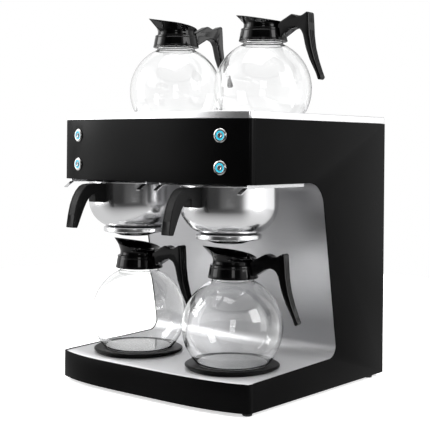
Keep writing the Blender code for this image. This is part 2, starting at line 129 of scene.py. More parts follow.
def spinMesh(name, profile, steps=96, creaseAngle=32.0):
    verts, faces = [], []
    count = len(profile)
    for k in range(steps):
        a = 2 * math.pi * k / steps
        verts += [(r * math.cos(a), r * math.sin(a), z) for r, z in profile]
    closed = profile[0][0] > 0.001
    for k in range(steps):
        j = (k + 1) % steps
        for i in range(count if closed else count - 1):
            n = (i + 1) % count
            faces.append((k * count + i, j * count + i, j * count + n, k * count + n))
    return buildMesh(name, verts, faces, creaseAngle)


def slabMesh(name, outline, low, high, edge=0.4, plane="XY", steps=3):
    # a sheet or bar cut to an outline, with its edges rounded over
    rings = [(low + edge - edge * math.cos(math.pi / 2 * k / steps), edge - edge * math.sin(math.pi / 2 * k / steps))
             for k in range(steps + 1)]
    rings += [(high - edge + edge * math.sin(math.pi / 2 * k / steps), edge - edge * math.cos(math.pi / 2 * k / steps))
              for k in range(steps + 1)]
    return ringSlab(name, outline, rings, plane)


def outwardNormals(outline):
    area = sum(outline[i - 1][0] * p[1] - p[0] * outline[i - 1][1] for i, p in enumerate(outline))
    sign = 1.0 if area > 0 else -1.0
    out = []
    count = len(outline)
    for i, p in enumerate(outline):
        before = (Vector(p) - Vector(outline[i - 1])).normalized()
        after = (Vector(outline[(i + 1) % count]) - Vector(p)).normalized()
        n = Vector((before.y + after.y, -before.x - after.x)) * sign
        n.normalize()
        miter = max(0.5, n.dot(Vector((before.y, -before.x)) * sign))
        out.append(n / miter)
    return out


def ringSlab(name, outline, rings, plane="XY", weights=None):
    # rings are (height, inset) or (height, inset, groove); weights say where the groove bites
    normals = outwardNormals(outline)
    verts, faces = [], []
    count = len(outline)
    for ring in rings:
        height, inset = ring[:2]
        groove = ring[2] if len(ring) > 2 else 0.0
        for i, p in enumerate(outline):
            d = inset + (groove * weights[i] if weights else 0.0)
            a, b = p[0] - normals[i].x * d, p[1] - normals[i].y * d
            verts.append((a, b, height) if plane == "XY" else (height, a, b) if plane == "YZ" else (a, height, b))
    for r in range(len(rings) - 1):
        for i in range(count):
            j = (i + 1) % count
            faces.append((r * count + i, r * count + j, (r + 1) * count + j, (r + 1) * count + i))
    faces.append(tuple(reversed(range(count))))
    faces.append(tuple(range((len(rings) - 1) * count, len(rings) * count)))
    return buildMesh(name, verts, faces, 40.0)


def putPiece(name, mesh, finish, body, stands, place=None, turn=None):
    obj = bpy.data.objects.new(name, mesh)
    scene.collection.objects.link(obj)
    obj.location = home if place is None else place
    if turn is not None:
        obj.rotation_euler = turn
    mesh.materials.clear()
    mesh.materials.append(finish)
    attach(obj, body)
    if stands:
        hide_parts(*([stands] if isinstance(stands, str) else stands))
    return obj


def cutHoles(obj, cutters):
    # subtract plain meshes, then keep only the result
    for cutter in cutters:
        step = obj.modifiers.new("hole", "BOOLEAN")
        step.operation = "DIFFERENCE"
        step.solver = "EXACT"
        step.object = cutter
    bpy.context.view_layer.update()
    made = bpy.data.meshes.new_from_object(obj.evaluated_get(bpy.context.evaluated_depsgraph_get()))
    obj.modifiers.clear()
    obj.data = made
    made.set_sharp_from_angle(angle=math.radians(32))
    for cutter in cutters:
        bpy.data.objects.remove(cutter, do_unlink=True)


def rawObject(name, mesh, place, turn=(0, 0, 0)):
    obj = bpy.data.objects.new(name, mesh)
    scene.collection.objects.link(obj)
    obj.location = place
    obj.rotation_euler = turn
    return obj


def rod(name, radius, low, high, place, turn=(0, 0, 0), steps=32):
    return rawObject(name, spinMesh(name, [(0, high), (radius, high), (radius, low), (0, low)], steps), place, turn)


# ---- finishes ----

def newFinish(name, colour, metal=0.0, rough=0.4, **sockets):
    made = bpy.data.materials.new(name)
    made.use_nodes = True
    shader = made.node_tree.nodes["Principled BSDF"]
    shader.inputs["Base Color"].default_value = (*colour, 1.0)
    shader.inputs["Metallic"].default_value = metal
    shader.inputs["Roughness"].default_value = rough
    for key, value in sockets.items():
        shader.inputs[key.replace("_", " ")].default_value = value
    return made, made.node_tree, shader


def noiseOn(tree, scale, stretch=(1, 1, 1), detail=4.0, kind="ShaderNodeTexNoise"):
    where = tree.nodes.new("ShaderNodeTexCoord")
    mapping = tree.nodes.new("ShaderNodeMapping")
    mapping.inputs["Scale"].default_value = stretch
    noise = tree.nodes.new(kind)
    noise.inputs["Scale"].default_value = scale
    if "Detail" in noise.inputs:
        noise.inputs["Detail"].default_value = detail
    tree.links.new(where.outputs["Object"], mapping.inputs["Vector"])
    tree.links.new(mapping.outputs["Vector"], noise.inputs["Vector"])
    return noise


def spread(tree, source, low, high, target, fromLow=0.3, fromHigh=0.7):
    scaled = tree.nodes.new("ShaderNodeMapRange")
    scaled.inputs["From Min"].default_value = fromLow
    scaled.inputs["From Max"].default_value = fromHigh
    scaled.inputs["To Min"].default_value = low
    scaled.inputs["To Max"].default_value = high
    tree.links.new(source, scaled.inputs["Value"])
    tree.links.new(scaled.outputs["Result"], target)
    return scaled


def tint(tree, source, dark, pale, target):
    ramp = tree.nodes.new("ShaderNodeValToRGB")
    ramp.color_ramp.elements[0].position = 0.3
    ramp.color_ramp.elements[1].position = 0.7
    ramp.color_ramp.elements[0].color = (*dark, 1.0)
    ramp.color_ramp.elements[1].color = (*pale, 1.0)
    tree.links.new(source, ramp.inputs["Fac"])
    tree.links.new(ramp.outputs["Color"], target)


def bumpFrom(tree, source, shader, strength, distance):
    bump = tree.nodes.new("ShaderNodeBump")
    bump.inputs["Strength"].default_value = strength
    bump.inputs["Distance"].default_value = distance
    tree.links.new(source, bump.inputs["Height"])
    tree.links.new(bump.outputs["Normal"], shader.inputs["Normal"])


def satinBlackPaint():
    made, tree, shader = newFinish("satinBlackPaint", (0.0015, 0.0015, 0.0016), 0.0, 0.3, Specular_IOR_Level=0.035)
    cloud = noiseOn(tree, 9.0)
    peel = noiseOn(tree, 1500.0, detail=2.0)
    tint(tree, cloud.outputs["Fac"], (0.0009, 0.0009, 0.00095), (0.0016, 0.0016, 0.0017), shader.inputs["Base Color"])
    spread(tree, cloud.outputs["Fac"], 0.27, 0.33, shader.inputs["Roughness"])
    bumpFrom(tree, peel.outputs["Fac"], shader, 0.05, 0.0002)
    return made


def brushedSteel(name, colour, rough, stretch, strength=0.06, scale=60.0):
    made, tree, shader = newFinish(name, colour, 1.0, rough)
    lines = noiseOn(tree, scale, stretch, 6.0)
    cloud = noiseOn(tree, 5.0)
    dark = tuple(c * 0.93 for c in colour)
    tint(tree, cloud.outputs["Fac"], dark, colour, shader.inputs["Base Color"])
    spread(tree, lines.outputs["Fac"], rough * 0.85, rough * 1.15, shader.inputs["Roughness"])
    bumpFrom(tree, lines.outputs["Fac"], shader, strength, 0.0002)
    return made


def clearGlass():
    made, tree, shader = newFinish("clearGlass", (0.98, 0.982, 0.982), 0.0, 0.0, IOR=1.45, Transmission_Weight=1.0)
    wave = noiseOn(tree, 14.0, detail=1.0)
    bumpFrom(tree, wave.outputs["Fac"], shader, 0.006, 0.0004)
    return made


def glossBlackMoulding():
    made, tree, shader = newFinish("glossBlackMoulding", (0.0006, 0.0006, 0.0007), 0.0, 0.08, Specular_IOR_Level=0.2)
    cloud = noiseOn(tree, 40.0)
    spread(tree, cloud.outputs["Fac"], 0.05, 0.09, shader.inputs["Roughness"])
    ripple = noiseOn(tree, 160.0, detail=1.0)
    bumpFrom(tree, ripple.outputs["Fac"], shader, 0.01, 0.0001)
    return made


def mattBlackGrip():
    made, tree, shader = newFinish("mattBlackGrip", (0.003, 0.003, 0.0032), 0.0, 0.45, Specular_IOR_Level=0.11)
    grain = noiseOn(tree, 1100.0, detail=3.0)
    cloud = noiseOn(tree, 30.0)
    tint(tree, cloud.outputs["Fac"], (0.002, 0.002, 0.0021), (0.0035, 0.0035, 0.0037), shader.inputs["Base Color"])
    spread(tree, cloud.outputs["Fac"], 0.4, 0.52, shader.inputs["Roughness"])
    bumpFrom(tree, grain.outputs["Fac"], shader, 0.15, 0.0003)
    return made


def warmerEnamel():
    made, tree, shader = newFinish("warmerEnamel", (0.002, 0.002, 0.002), 0.0, 0.34, Specular_IOR_Level=0.05)
    speck = noiseOn(tree, 700.0, detail=2.0)
    cloud = noiseOn(tree, 25.0)
    tint(tree, speck.outputs["Fac"], (0.002, 0.002, 0.002), (0.004, 0.004, 0.004), shader.inputs["Base Color"])
    spread(tree, cloud.outputs["Fac"], 0.28, 0.34, shader.inputs["Roughness"])
    bumpFrom(tree, speck.outputs["Fac"], shader, 0.04, 0.0001)
    return made


def mattRubber():
    made, tree, shader = newFinish("mattRubber", (0.01, 0.01, 0.01), 0.0, 0.8)
    grain = noiseOn(tree, 600.0)
    spread(tree, grain.outputs["Fac"], 0.7, 0.9, shader.inputs["Roughness"])
    bumpFrom(tree, grain.outputs["Fac"], shader, 0.2, 0.0003)
    return made


def litRing():
    made, tree, shader = newFinish("litRing", (0.01, 0.2, 0.28), 0.0, 0.25, Emission_Strength=0.62)
    cloud = noiseOn(tree, 300.0)
    tint(tree, cloud.outputs["Fac"], (0.01, 0.42, 0.62), (0.04, 0.72, 0.95), shader.inputs["Emission Color"])
    spread(tree, cloud.outputs["Fac"], 0.2, 0.35, shader.inputs["Roughness"])
    return made


def greenBoard():
    made, tree, shader = newFinish("greenBoard", (0.02, 0.16, 0.07), 0.0, 0.35)
    tracks = noiseOn(tree, 260.0, (1, 1, 0.1), kind="ShaderNodeTexVoronoi")
    tint(tree, tracks.outputs["Distance"], (0.015, 0.12, 0.05), (0.04, 0.24, 0.1), shader.inputs["Base Color"])
    bumpFrom(tree, tracks.outputs["Distance"], shader, 0.2, 0.0002)
    return made


def softSilicone():
    made, tree, shader = newFinish("softSilicone", (0.72, 0.72, 0.69), 0.0, 0.5, Transmission_Weight=0.25)
    cloud = noiseOn(tree, 80.0)
    tint(tree, cloud.outputs["Fac"], (0.66, 0.66, 0.62), (0.76, 0.76, 0.73), shader.inputs["Base Color"])
    return made


def castBrass():
    made, tree, shader = newFinish("castBrass", (0.6, 0.42, 0.16), 1.0, 0.35)
    grain = noiseOn(tree, 420.0)
    tint(tree, grain.outputs["Fac"], (0.52, 0.36, 0.13), (0.66, 0.47, 0.2), shader.inputs["Base Color"])
    spread(tree, grain.outputs["Fac"], 0.28, 0.42, shader.inputs["Roughness"])
    bumpFrom(tree, grain.outputs["Fac"], shader, 0.15, 0.0003)
    return made


paint = satinBlackPaint()
linerSteel = brushedSteel("linerSteel", (0.7, 0.7, 0.71), 0.42, (0.6, 18, 18), 0.03)
linerTree = linerSteel.node_tree
linerShader = linerTree.nodes["Principled BSDF"]
facing = linerTree.nodes.new("ShaderNodeNewGeometry")  # painted light: the up-facing deck is tinted paler and made less metallic than the wall, standing in for the overhead light falling on it
paintedDeckLightParts = linerTree.nodes.new("ShaderNodeSeparateXYZ")
linerTree.links.new(facing.outputs["Normal"], paintedDeckLightParts.inputs[0])
tint(linerTree, paintedDeckLightParts.outputs["Z"], (0.44, 0.44, 0.45), (0.7, 0.7, 0.71), linerShader.inputs["Base Color"])
spread(linerTree, paintedDeckLightParts.outputs["Z"], 1.0, 0.6, linerShader.inputs["Metallic"], 0.4, 0.95)
traySteel = brushedSteel("traySteel", (0.9, 0.9, 0.91), 0.32, (0.6, 18, 18), 0.03)
bowlSteel = brushedSteel("bowlSteel", (0.8, 0.8, 0.81), 0.2, (0.5, 0.5, 30), 0.02)
railSteel = brushedSteel("railSteel", (0.62, 0.62, 0.63), 0.26, (20, 0.8, 20), 0.04)
turnedSteel = brushedSteel("turnedSteel", (0.52, 0.515, 0.51), 0.16, (3, 3, 3), 0.03, 300.0)
discSteel = brushedSteel("discSteel", (0.95, 0.95, 0.96), 0.35, (1, 1, 1), 0.02, 200.0)
discSteel.node_tree.nodes["Principled BSDF"].inputs["Metallic"].default_value = 0.1  # dull under the jugs
capSteel = brushedSteel("capSteel", (0.26, 0.26, 0.27), 0.14, (3, 3, 3), 0.02, 300.0)
glass = clearGlass()
gloss = glossBlackMoulding()
gripBlack = mattBlackGrip()
enamel = warmerEnamel()
rubber = mattRubber()
glow = litRing()
board = greenBoard()
silicone = softSilicone()
brass = castBrass()
print("finishes ready")

# ---- housing sheets ----


def bowY(x, inset=0.0):
    u = min(1.0, abs(x) / (housing["half"] - inset))
    return -housing["bow"] * (1 - u ** housing["power"]) + inset * (1 - 0.35 * u ** 3)


def frontLine(inset, steps=72, cornerSteps=10):
    half = housing["half"] - inset
    lean = math.atan(housing["bow"] * housing["power"] / half)
    radius = max(housing["corner"] - inset, 1.0)
    reach = radius * math.tan((math.pi / 2 - lean) / 2)
    cornerY = bowY(half, inset)
    arc = []
    for k in range(cornerSteps + 1):
        a = -math.pi / 2 + lean + (math.pi / 2 - lean) * k / cornerSteps
        arc.append((half - radius + radius * math.cos(a), cornerY + reach + radius * math.sin(a)))
    edge = arc[0][0]
    front = [(edge * math.sin(math.pi / 2 * (2 * k / steps - 1)),) for k in range(1, steps)]
    front = [(x, bowY(x, inset)) for (x,) in front]
    return [(-x, y) for x, y in reversed(arc)] + front + arc


def bandOutline():
    half, sheet, seam = housing["half"], housing["sheet"], housing["seam"]
    return ([(-half, seam)] + frontLine(0.0) + [(half, seam), (half - sheet, seam)]
            + list(reversed(frontLine(sheet))) + [(-half + sheet, seam)])


fascia = putPiece("fasciaSheet", slabMesh("fasciaSheet", bandOutline(), housing["low"] + 0.2, housing["high"], 0.35),
                  paint, "housing", "front_fascia")
switches = {"across": 152.8, "heights": (410.6, 362.4), "hole": 9.0}
slope = math.atan(housing["bow"] * housing["power"] / housing["half"]
                  * (switches["across"] / housing["half"]) ** (housing["power"] - 1))
holes = []
for side in (-1, 1):
    for high in switches["heights"]:
        holes.append(rod("switchHole", switches["hole"], -30, 30,
                         spot(side * switches["across"], bowY(switches["across"]), high), (math.pi / 2, 0, 0)))
cutHoles(fascia, holes)

baseSheet = putPiece("baseSheet", slabMesh("baseSheet", bandOutline(), 0.0, housing["baseHigh"], 0.5),
                     paint, "housing", None)
innerHalf = housing["half"] - housing["sheet"] - 0.3
panLine = ([(-innerHalf, 10)] + frontLine(0.8) + [(innerHalf, 10), (innerHalf, 384.2), (-innerHalf, 384.2)])
basePan = putPiece("basePan", slabMesh("basePan", panLine, 0.0, 1.2, 0.3), paint, "housing",
                   "base_shell")


def edgeHigh(y):
    return housing["baseHigh"] + housing["baseSlope"] * y


slantTop, slantFoot = (188.6, housing["low"]), (237.5, 49.6)
opening = roundCorners([(10.3, housing["low"]), (*slantTop, 42), (*slantFoot, 18.6), (10.3, edgeHigh(10.3))],
                       0, False, 20)
sideLine = [(10.3, 0.0), (386.0, 0.0), (386.0, housing["high"]), (10.3, housing["high"])] + opening
for side, word in ((-1, "Left"), (1, "Right")):
    low, high = sorted((side * (housing["half"] - housing["sheet"]), side * housing["half"]))
    putPiece("sideSheet" + word, slabMesh("sideSheet" + word, sideLine, low, high, 0.35, "YZ"),
             paint, "housing", "side_panel_" + word.lower())

liner = {"deckDrop": 1.35, "wallBack": 1.2, "lift": 0.6, "sheet": 1.2, "across": 64}


def linerPath():
    leanRun = (slantFoot[0] - slantTop[0]) / (slantFoot[1] - slantTop[1])
    shift = liner["wallBack"] * math.sqrt(1 + leanRun ** 2)
    ceiling = housing["low"] + liner["lift"]

    def wallY(z):
        return slantTop[0] + shift + (z - housing["low"]) * leanRun
    footY = 238.0
    for _ in range(20):
        footY = wallY(edgeHigh(footY) - liner["deckDrop"])
    return roundCorners([(-40.0, edgeHigh(-40) - liner["deckDrop"]),
                         (footY, edgeHigh(footY) - liner["deckDrop"], 18.6 + liner["wallBack"]),
                         (wallY(ceiling), ceiling, 42 + liner["wallBack"]), (152.0, ceiling)], 0, False, 24)


def linerMesh():
    path = linerPath()[1:]
    start = path[0]
    rows = []
    count = liner["across"]
    for k in range(count + 1):
        x = innerHalf * math.sin(math.pi / 2 * (2 * k / count - 1))
        frontY = bowY(x, 1.8) + 0.3
        if abs(x) > innerHalf - 8:
            frontY += 8 * (1 - math.sqrt(max(0.0, 1 - ((abs(x) - innerHalf + 8) / 8) ** 2)))
        column = []
        for i in range(9):
            y = frontY + (start[0] - frontY) * i / 9
            column.append((x, y, edgeHigh(y) - liner["deckDrop"]))
        column += [(x, y, z) for y, z in path]
        rows.append(column)
    deep = len(rows[0])
    verts = [v for column in rows for v in column]
    faces = [(k * deep + i, (k + 1) * deep + i, (k + 1) * deep + i + 1, k * deep + i + 1)
             for k in range(count) for i in range(deep - 1)]
    mesh = buildMesh("linerSheet", verts, faces, 60)
    return mesh


linerSheet = putPiece("linerSheet", linerMesh(), linerSteel, "housing", "inner_liner")
thick = linerSheet.modifiers.new("thickness", "SOLIDIFY")
thick.thickness = liner["sheet"] * 0.001
thick.offset = 0.0
# face the sheet into the bay, then thicken it away from the bay
bayward = sum((p.normal.z for p in linerSheet.data.polygons if p.center.z < 0.06), 0.0)
thick.offset = -1.0 if bayward > 0 else 1.0

# Warming top: rolled rim and sunk floor pressed from one sheet.
top = {"rimInner": 10.0, "floor": 429.0, "roll": 1.4}


def planLine(inset):
    half, back = housing["half"] - inset, housing["deep"] - inset
    tail = roundCorners([(half, 40.0), (half, back, max(4.0 - inset, 0.8)), (-half, back, max(4.0 - inset, 0.8)),
                         (-half, 40.0)], 0, False, 8)
    return frontLine(inset) + tail


def topMesh():
    high, roll = 447.8, top["roll"]
    section = [(8.8, top["floor"] - 1.2, 0), (8.8, housing["high"] + 0.4, 0.4), (0.0, housing["high"] + 0.4, 0.5),
               (0.0, high, roll), (top["rimInner"], high, roll), (top["rimInner"], top["floor"], 0)]
    section = roundCorners(section, 0.4, False, 5)
    rings = []
    for inset, z in section:
        rings.append([(x, y, z) for x, y in planLine(inset)])
    for extra in (1.2, 2.4):  # cove between rim and floor
        rings[-1] = [(x, y, z + (1.4 if extra == 1.2 else 0.0)) for x, y, z in rings[-1]]
        rings.append([(x, y, top["floor"] + (0.35 if extra == 1.2 else 0.0)) for x, y in planLine(10.0 + extra)])
    count = len(rings[0])
    verts = [v for ring in rings for v in ring]
    faces = []
    for r in range(len(rings) - 1):
        faces += [(r * count + i, r * count + (i + 1) % count, (r + 1) * count + (i + 1) % count, (r + 1) * count + i)
                  for i in range(count)]
    faces.append(tuple(reversed(range(count))))
    faces.append(tuple(range((len(rings) - 1) * count, len(rings) * count)))
    return buildMesh("warmingTop", verts, faces, 35)


putPiece("warmingTop", topMesh(), traySteel, "housing", "top_tray")

for node in ("foot_front_left", "foot_front_right", "foot_rear_left", "foot_rear_right"):
    profile = roundCorners([(0, 4, 0), (2.5, 4, 0.3), (2.5, -0.3, 0), (8, -0.3, 0.6), (7.6, -3, 0.4), (7.9, -3.6, 0.4),
                            (7.2, -6, 0.8), (0, -6, 0)], 0.3, False)
    place = axisOf(node)
    place.z = home.z
    name = "pad" + "".join(w.title() for w in node.split("_")[1:])
    putPiece(name, spinMesh(name, profile, 40), rubber, "housing", node, place)
print("housing sheets ready")

# ---- warmers ----
warmer = {"radius": 75.7, "hub": 71.5, "disc": 56.0}
for node, thickness, hubDrop in (("warmer_lower_left", 3.6, 6.0), ("warmer_lower_right", 3.6, 6.0),
                                 ("warmer_upper_left", 3.7, 5.0), ("warmer_upper_right", 3.7, 5.0)):
    place = axisOf(node)
    place.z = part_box(node)[1].z
    r = warmer["radius"]
    profile = [(0, -0.6, 0), (56.4, -0.6, 0.2), (56.9, 0, 0.3), (r - 2.6, 0, 0.8), (r, -1.4, 0.8), (r, -thickness, 0.5),
               (warmer["hub"], -thickness, 0.3), (warmer["hub"], -thickness - hubDrop, 0.3),
               (0, -thickness - hubDrop, 0)]
    name = "warmer" + "".join(w.title() for w in node.split("_")[1:])
    putPiece(name, spinMesh(name, roundCorners(profile, 0.3, False, 5), 120), enamel, "housing", node,
             place)
    disc = roundCorners([(0, 0.02, 0), (warmer["disc"], 0.02, 0.3), (warmer["disc"], -0.8, 0), (0, -0.8, 0)], 0.3,
                        False, 4)
    putPiece(name.replace("warmer", "warmerDisc"), spinMesh(name, disc, 120), discSteel, "housing",
             None, place)

# ---- push switches ----
switchShapes = {
    "bezel": [(9.0, 2.6, 0.5), (10.8, 1.5, 0.4), (10.8, 0.5, 0.2), (8.2, 0.5, 0.2), (8.2, -24, 0.3), (3, -24, 0.3),
              (3, -4, 0), (7.2, -4, 0), (7.2, 2.6, 0.3)],
    "ring": [(4.9, 2.3, 0.15), (7.0, 2.3, 0.15), (7.0, -3, 0.1), (4.9, -3, 0.1)],
    "cap": [(0, 2.2, 0), (1.8, 2.4, 1.5), (3.3, 3.2, 0.5), (4.2, 2.5, 0.5), (4.6, 1.8, 0.3), (4.6, -1.2, 0.2),
            (2.2, -1.2, 0.2), (2.2, -18, 0.3), (0, -18, 0)]}
for side, across in ((-1, "left"), (1, "right")):
    for level, high in zip(("upper", "lower"), switches["heights"]):
        place = spot(side * switches["across"], bowY(switches["across"]), high)
        turn = (Matrix.Rotation(side * slope, 4, "Z") @ Matrix.Rotation(math.pi / 2, 4, "X")).to_euler()
        tail = level + "_" + across
        word = level.title() + across.title()
        for shape, finish, slotName, body in (("bezel", turnedSteel, "stainless", "housing"),
                                              ("ring", glow, "blue_light", "housing"),
                                              ("cap", capSteel, "stainless", "button_" + tail)):
            profile = roundCorners(switchShapes[shape], 0.2, shape != "cap", 3)
            name = "switch" + shape.title() + word
            putPiece(name, spinMesh(name, profile, 48), finish, body, "button_" + shape + "_" + tail,
                     place, turn)
print("warmers and switches ready")

# ---- baskets ----
basket = {"radius": 78.3, "flange": 84.0, "low": 333.0, "high": 334.2, "wall": 1.3, "gripHalf": 8.5,
          "gripEdge": 1.3, "gripForward": 0.07}


def bowlArc(inset, steps=22):
    wide, centre, fall = 44.3 - inset, 34.0, 46.5 - inset
    last = math.acos((43.2 - inset - centre) / wide)
    return [(centre + wide * math.cos(last * k / steps), 303.0 - fall * math.sin(last * k / steps), 0)
            for k in range(steps + 1)]


def bowlProfile():
    r, wall = basket["radius"], basket["wall"]
    low, high, flange = basket["low"], basket["high"], basket["flange"]
    points = [(r - wall, high, 0.8), (flange, high, 0.5), (flange, low, 0.5), (r, low, 0.5)] + bowlArc(0.0)
    points += [(50.6, 257.0, 0.8), (52.5, 255.4, 0.9), (52.5, 250.0, 0.9), (51.0, 248.6, 0.5), (8, 248.6, 0.3),
               (8, 250.4, 0.3), (40.5, 250.4, 0.8), (40.5, 257.5, 0.8)] + list(reversed(bowlArc(wall)))[1:]
    return roundCorners(points, 0.4, True, 5)


gripSide = [(-3, 331.8, 1.6), (-36, 331.8, 18), (-47, 331, 18), (-54, 327.6, 18), (-61, 321, 18),
            (-67.5, 311.5, 18), (-73, 299, 20), (-77, 284, 30), (-80.6, 262.5, 1.8), (-70.6, 261.8, 1.8),
            (-66.5, 270.5, 40), (-62, 280.5, 50), (-56.2, 292.5, 50), (-50.4, 302.5, 30), (-44.4, 309.8, 20),
            (-37, 314.6, 10), (-31, 315.2, 2.4), (-31, 301.8, 2.2), (-9, 300.2, 1.8), (-7, 303, 1.4),
            (-3, 303, 1.4)]


def edgeRings(half, edge, grooves=(), steps=5):
    # ring heights and insets across a moulded grip, with optional grooves (place, width, depth)
    rings = [(-half + edge - edge * math.cos(math.pi / 2 * k / steps), edge - edge * math.sin(math.pi / 2 * k / steps))
             for k in range(steps + 1)]
    rings = [(h, inset, 0.0) for h, inset in rings]
    for place, wide, deep in grooves:
        rings += [(place - wide / 2, 0, 0), (place - wide / 2 + 0.45, 0, deep), (place + wide / 2 - 0.45, 0, deep),
                  (place + wide / 2, 0, 0)]
    rings += [(half - edge + edge * math.sin(math.pi / 2 * k / steps),
               edge - edge * math.cos(math.pi / 2 * k / steps), 0.0) for k in range(steps + 1)]
    return rings


def frontStrip(y, z):
    return y < -52 and z > 268 and y < -46.5 - (331.0 - z) * 0.42


def basketGrip(name, place, body, node):
    outline = roundCorners(gripSide, 2.0, True, 6)
    weights = [1.0 if frontStrip(*p) else 0.0 for p in outline]
    rings = edgeRings(basket["gripHalf"], basket["gripEdge"], ((0.0, 12.2, 0.5),))
    mesh = ringSlab(name, outline, rings, "YZ", weights)
    grip = putPiece(name, mesh, gripBlack, body, node, place)
    scoop = rod("bowlScoop", basket["radius"] + 0.3, 230, 360,
                Vector((place.x, place.y + basket["gripForward"], place.z)), steps=160)
    cutHoles(grip, [scoop])
    return grip


for side, word in ((-1, "left"), (1, "right")):
    body = "basket_" + word
    axis = axisOf("basket_bowl_" + word)
    place = Vector((axis.x, axis.y, home.z))
    putPiece("filterBowl" + word.title(), spinMesh("filterBowl", bowlProfile(), 128), bowlSteel, body,
             "basket_bowl_" + word, place)
    nozzle = roundCorners([(8, 248.3, 0.3), (36, 248.3, 0.4), (36, 246.2, 1.0), (25, 242.2, 1.2), (8, 242.2, 0.6)],
                          0.4, True, 5)
    putPiece("dripNozzle" + word.title(), spinMesh("dripNozzle", nozzle, 80), gloss, body,
             "basket_nozzle_" + word, place)
    gripPlace = Vector((axis.x, axis.y - basket["gripForward"], home.z))
    basketGrip("drawGrip" + word.title(), gripPlace, body, "basket_handle_" + word)

    # shower plate with its ring of holes
    plate = [(0, 353, 0), (4, 353, 0.5), (4, 345, 0.3), (10, 345, 0.5), (10, 336.8, 0.3), (34, 336.8, 0.5),
             (34, 335.2, 0.7), (0, 335.2, 0)]
    shower = putPiece("showerPlate" + word.title(), spinMesh("showerPlate", roundCorners(plate, 0.3, False, 4), 64),
                      railSteel, "housing", "spray_head_" + word, place)
    jets = []
    for ring, count in ((13.0, 8), (21.0, 12), (29.0, 16)):
        for k in range(count):
            a = 2 * math.pi * k / count
            jets.append(Vector((ring * math.cos(a), ring * math.sin(a))))
    verts, faces = [], []
    for spotXY in jets:
        start = len(verts)
        for z in (334.0, 338.0):
            verts += [(spotXY.x + 1.0 * math.cos(math.pi * m / 4), spotXY.y + 1.0 * math.sin(math.pi * m / 4), z)
                      for m in range(8)]
        faces += [(start + m, start + (m + 1) % 8, start + 8 + (m + 1) % 8, start + 8 + m) for m in range(8)]
        faces += [tuple(range(start + 7, start - 1, -1)), tuple(range(start + 8, start + 16))]
    cutHoles(shower, [rawObject("jets", buildMesh("jets", verts, faces), place)])
print("baskets ready")

# ---- jugs ----
jug = {"radius": 81.0, "centre": 57.0, "wall": 2.0, "neck": 33.0, "gripHalf": 10.0,
       "gripEdge": 2.3, "taper": 0.28, "taperFrom": 0.15, "taperRun": 0.083, "grooves": (-4.6, 0.0, 4.6)}


def globeArc(radius, low, high, steps):
    topA = math.asin((high - jug["centre"]) / radius)
    footA = math.asin((low - jug["centre"]) / radius)
    return [(radius * math.cos(topA + (footA - topA) * k / steps),
             jug["centre"] + radius * math.sin(topA + (footA - topA) * k / steps), 0) for k in range(steps + 1)]


def glassProfile():
    neck, inner = jug["neck"], jug["neck"] - jug["wall"]
    outside = [(inner, 155, 0.9), (neck, 155, 0.9), (neck, 132.6, 2.5)] + globeArc(jug["radius"], 2.4, 130.4, 60)
    outside[-1] = (*outside[-1][:2], 2.0)
    outside += [(57.6, 0, 1.6), (0, 0.02, 0)]
    inside = globeArc(jug["radius"] - jug["wall"], 4.6, 128.6, 56)
    profile = [(0, 2.4, 0), (56.4, 2.2, 2.5)] + list(reversed(inside)) + [(inner, 131.8, 2.5)] + outside
    return roundCorners(profile, 0.5, False, 5)


collarProfile = [(33.3, 156.0, 0.4), (36.8, 156.0, 0.5), (37.3, 153.1, 0.4), (36.9, 152.4, 0.3), (37.6, 151.5, 0.6),
                 (39.7, 139.1, 0.6), (39.3, 138.4, 0.3), (40.4, 137.7, 0.5), (40.3, 135.1, 0.6), (33.9, 135.1, 0.4),
                 (33.3, 136.5, 0.4)]
gripLine = [(34, 162.2, 3), (42, 167, 8), (50, 171, 9), (60.5, 176.5, 7), (66, 175, 6), (72, 172.2, 7), (80, 173, 8),
            (90, 178.5, 2.6), (93, 176, 2.8), (94.2, 160, 30), (95.6, 140, 40), (99, 120, 50), (105, 100, 60),
            (112, 82, 40), (116.6, 71.6, 3.2), (110.9, 67.0, 3.2), (106, 80, 40), (95, 101, 50),
            (87.5, 121, 50), (82.5, 143, 24), (78, 150.5, 9), (69, 154.5, 9), (60, 152, 14), (50, 146, 14),
            (41, 140.5, 3), (34, 140.5, 3)]
dishRings = [  # reach, tip, height on the axis, tilt
    (28.4, 28.4, 150.0, 0.0), (29.4, 29.4, 149.6, 0.0), (30.4, 30.4, 150.0, 0.0), (30.4, 30.4, 156.3, 0.0),
    (32.9, 32.9, 156.5, 0.0), (33.1, 33.1, 157.3, 0.0), (32.6, 33.0, 160.5, 0.006), (32.4, 34.2, 162.6, 0.02),
    (33.2, 38.6, 164.8, 0.05), (34.4, 44.4, 167.2, 0.095), (35.8, 50.8, 170.0, 0.145), (36.9, 55.8, 172.1, 0.174),
    (37.2, 56.5, 172.7, 0.176), (36.9, 56.3, 173.05, 0.176), (36.2, 55.2, 173.1, 0.176), (34.6, 50.4, 171.6, 0.15),
    (32.4, 43.4, 169.6, 0.11), (30.4, 36.8, 167.3, 0.07), (29.0, 31.8, 165.0, 0.035), (28.4, 28.6, 162.6, 0.01),
    (28.4, 28.4, 157.0, 0.0)]


def dishMesh(name, steps=128):
    verts, faces = [], []
    for reach, tip, height, tilt in dishRings:
        span = math.acos(min(1.0, reach / tip))
        for k in range(steps):
            a = 2 * math.pi * k / steps
            off = abs(math.pi - a)
            r = reach / math.cos(span - off) if off < span else reach
            r = min(r, tip - 0.02 * (tip - reach))
            verts.append((r * math.cos(a), r * math.sin(a), height - tilt * r * math.cos(a)))
    for a in range(len(dishRings)):
        b = (a + 1) % len(dishRings)
        faces += [(a * steps + k, a * steps + (k + 1) % steps, b * steps + (k + 1) % steps, b * steps + k)
                  for k in range(steps)]
    return buildMesh(name, verts, faces, 50)


def outerStrip(point):
    return point[0] > 91.5 and 74 < point[1] < 172 and point[0] > 95.0 + max(0.0, 118 - point[1]) * 0.38 - 3.0


